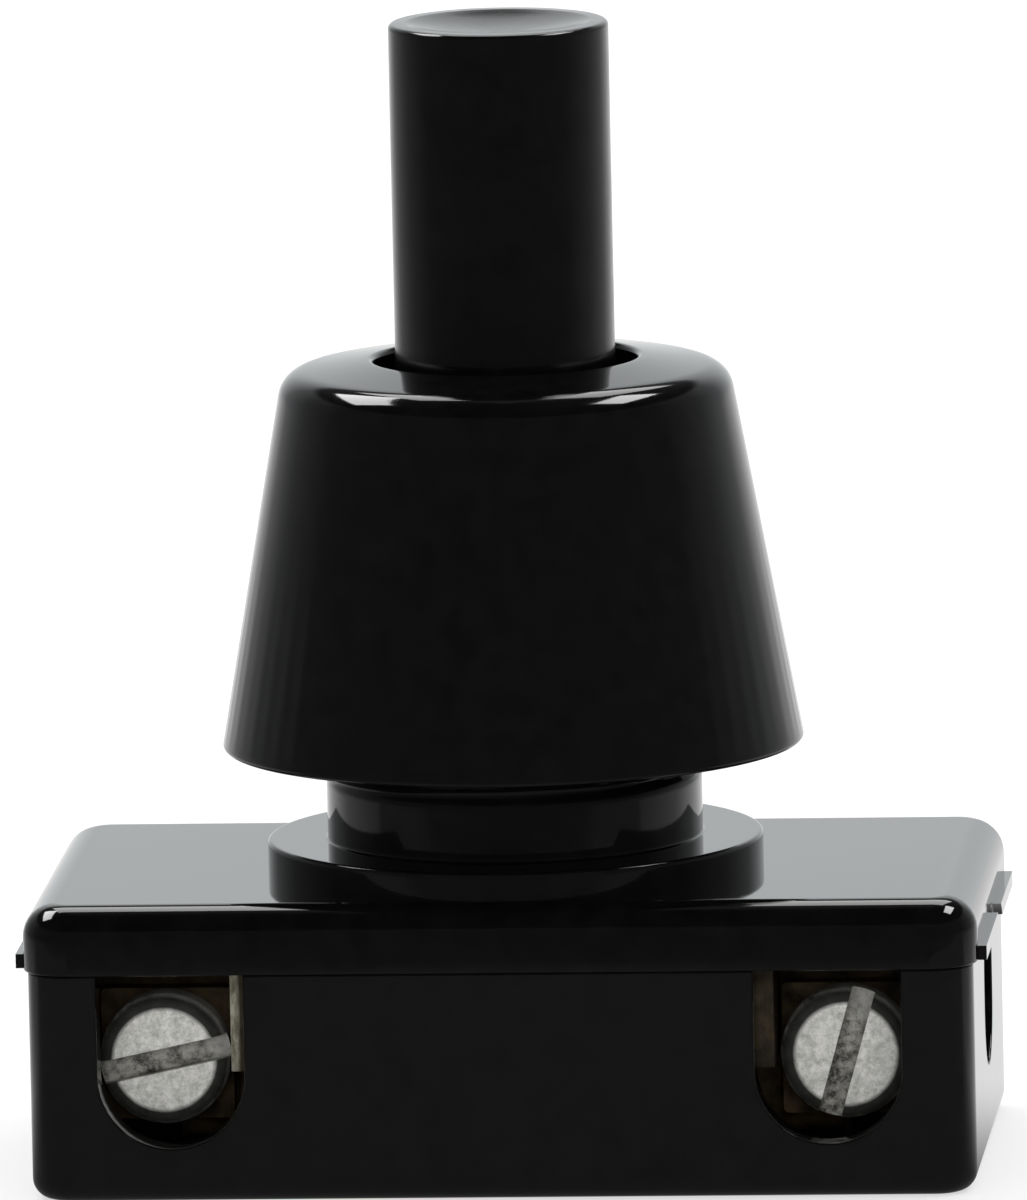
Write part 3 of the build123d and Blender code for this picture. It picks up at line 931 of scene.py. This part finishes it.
def by_ray(tree, out, otherwise, camera, mirror):
    """Gives the output one shader for camera rays, one for mirrored rays, and one for the rest."""
    path = tree.nodes.new("ShaderNodeLightPath")
    mirrored = arithmetic(
        tree, "MAXIMUM", path.outputs["Is Glossy Ray"], path.outputs["Is Transmission Ray"]
    )
    shader = otherwise
    for share, other in ((path.outputs["Is Camera Ray"], camera), (mirrored, mirror)):
        mix = tree.nodes.new("ShaderNodeMixShader")
        tree.links.new(share, mix.inputs["Fac"])
        tree.links.new(shader, mix.inputs[1])
        tree.links.new(other, mix.inputs[2])
        shader = mix.outputs["Shader"]
    tree.links.new(shader, out.inputs["Surface"])


def make_floor():
    """White floor. Reflections see it dark before the object and white behind it."""
    half = 0.9
    mesh = bpy.data.meshes.new("floor")
    mesh.from_pydata(
        [(-half, -half, 0), (half, -half, 0), (half, half, 0), (-half, half, 0)], [], [(0, 1, 2, 3)]
    )
    floor = bpy.data.objects.new("floor", mesh)
    bpy.context.scene.collection.objects.link(floor)
    finish = bpy.data.materials.new("floor_white")
    finish.use_nodes = True
    tree = finish.node_tree
    tree.nodes.clear()
    out = tree.nodes.new("ShaderNodeOutputMaterial")
    matt = tree.nodes.new("ShaderNodeBsdfDiffuse")
    matt.inputs["Color"].default_value = (0.82, 0.82, 0.82, 1)
    lift = tree.nodes.new("ShaderNodeEmission")
    lift.inputs["Color"].default_value = (1, 1, 1, 1)
    lift.inputs["Strength"].default_value = 1.0
    seen = tree.nodes.new("ShaderNodeMixShader")
    seen.inputs["Fac"].default_value = 0.6
    tree.links.new(matt.outputs["BSDF"], seen.inputs[1])
    tree.links.new(lift.outputs["Emission"], seen.inputs[2])
    # Tone of the floor in reflections: dark before the object, white in a wedge behind it
    place = tree.nodes.new("ShaderNodeTexCoord")
    axes = separated(tree, place.outputs["Object"])
    behind = tree.nodes.new("ShaderNodeMapRange")
    behind.interpolation_type = "SMOOTHSTEP"
    behind.inputs["From Min"].default_value = -0.009
    behind.inputs["From Max"].default_value = 0.012
    behind.inputs["To Min"].default_value = 0.12
    tree.links.new(axes["Y"], behind.inputs["Value"])
    wedge_start = 0.045
    shifted = tree.nodes.new("ShaderNodeVectorMath")
    shifted.inputs[1].default_value = (0, wedge_start, 0)
    tree.links.new(place.outputs["Object"], shifted.inputs[0])
    wedge = facing_back(tree, shifted.outputs["Vector"])
    mirrored = tree.nodes.new("ShaderNodeEmission")
    tone = arithmetic(tree, "MINIMUM", behind.outputs["Result"], wedge)
    tree.links.new(tone, mirrored.inputs["Strength"])
    by_ray(tree, out, matt.outputs["BSDF"], seen.outputs["Shader"], mirrored.outputs["Emission"])
    floor.data.materials.append(finish)


def make_world():
    """Reflections see a white backdrop low behind and a dark room. The fill is soft and even."""
    world = bpy.data.worlds.new("studio")
    bpy.context.scene.world = world
    world.use_nodes = True
    tree = world.node_tree
    tree.nodes.clear()
    out = tree.nodes.new("ShaderNodeOutputWorld")
    place = tree.nodes.new("ShaderNodeTexCoord")
    axes = separated(tree, place.outputs["Generated"])
    low = tree.nodes.new("ShaderNodeMapRange")
    low.interpolation_type = "SMOOTHSTEP"
    low.inputs["From Min"].default_value = 0.54
    low.inputs["From Max"].default_value = 0.45
    low.inputs["To Min"].default_value = 0.12
    tree.links.new(axes["Z"], low.inputs["Value"])
    around = facing_back(tree, place.outputs["Generated"])
    room = arithmetic(tree, "MULTIPLY", low.outputs["Result"], around)
    fill = tree.nodes.new("ShaderNodeBackground")
    fill.inputs["Color"].default_value = (1, 1, 1, 1)
    fill.inputs["Strength"].default_value = 0.6
    white = tree.nodes.new("ShaderNodeBackground")
    white.inputs["Color"].default_value = (1, 1, 1, 1)
    white.inputs["Strength"].default_value = 1.0
    mirrored = tree.nodes.new("ShaderNodeBackground")
    mirrored.inputs["Color"].default_value = (0.95, 0.985, 1.0, 1)
    tree.links.new(room, mirrored.inputs["Strength"])
    shaders = [node.outputs["Background"] for node in (fill, white, mirrored)]
    by_ray(tree, out, *shaders)


def away_from_object(azimuth, elevation):
    """Direction by angles in degrees. Azimuth 0 is the front, 90 the right."""
    around = math.radians(azimuth)
    above = math.radians(elevation)
    return Vector(
        (
            math.sin(around) * math.cos(above),
            -math.cos(around) * math.cos(above),
            math.sin(above),
        )
    )


def make_lamp(name, azimuth, elevation, distance, size, watts, mirrored=True):
    """Area lamp aimed at the object, either seen in reflections or not."""
    away = away_from_object(azimuth, elevation)
    data = bpy.data.lights.new(name, "AREA")
    data.shape = "RECTANGLE"
    data.size, data.size_y = size
    data.energy = watts
    lamp = bpy.data.objects.new(name, data)
    lamp.visible_glossy = mirrored
    lamp.location = Vector((0, 0, 0.015)) + away * distance
    lamp.rotation_mode = "QUATERNION"
    lamp.rotation_quaternion = away.to_track_quat("Z", "Y")
    bpy.context.scene.collection.objects.link(lamp)


def make_camera():
    """Long lens at the photograph's viewing angle."""
    away = away_from_object(4.5, 8.8)
    roll = math.radians(1.25)
    distance = 0.7
    pixels_per_mm = 37.6
    picture_width = 1027
    data = bpy.data.cameras.new("camera")
    data.sensor_width = 36.0
    data.sensor_fit = "HORIZONTAL"
    data.lens = data.sensor_width * pixels_per_mm * distance / MM / picture_width
    data.clip_start = 0.1
    data.clip_end = 10.0
    camera = bpy.data.objects.new("camera", data)
    aim = Vector((0.08 * MM, 0, 14.92 * MM))
    camera.location = aim + away * distance
    camera.rotation_mode = "QUATERNION"
    turn = away.to_track_quat("Z", "Y") @ Matrix.Rotation(-roll, 3, "Z").to_quaternion()
    camera.rotation_quaternion = turn
    bpy.context.scene.collection.objects.link(camera)
    bpy.context.scene.camera = camera


make_floor()
make_world()
make_lamp("side_left", -118, 50, 0.4, (0.24, 0.12), 0.8)
make_lamp("side_right", 103, 55, 0.4, (0.2, 0.1), 0.6)
make_lamp("rear", 180, 56, 0.5, (0.34, 0.26), 1.0)
make_lamp("front_fill", 6, 18, 0.7, (0.5, 0.3), 1.6, mirrored=False)
make_camera()
bpy.context.scene.view_settings.view_transform = "Standard"
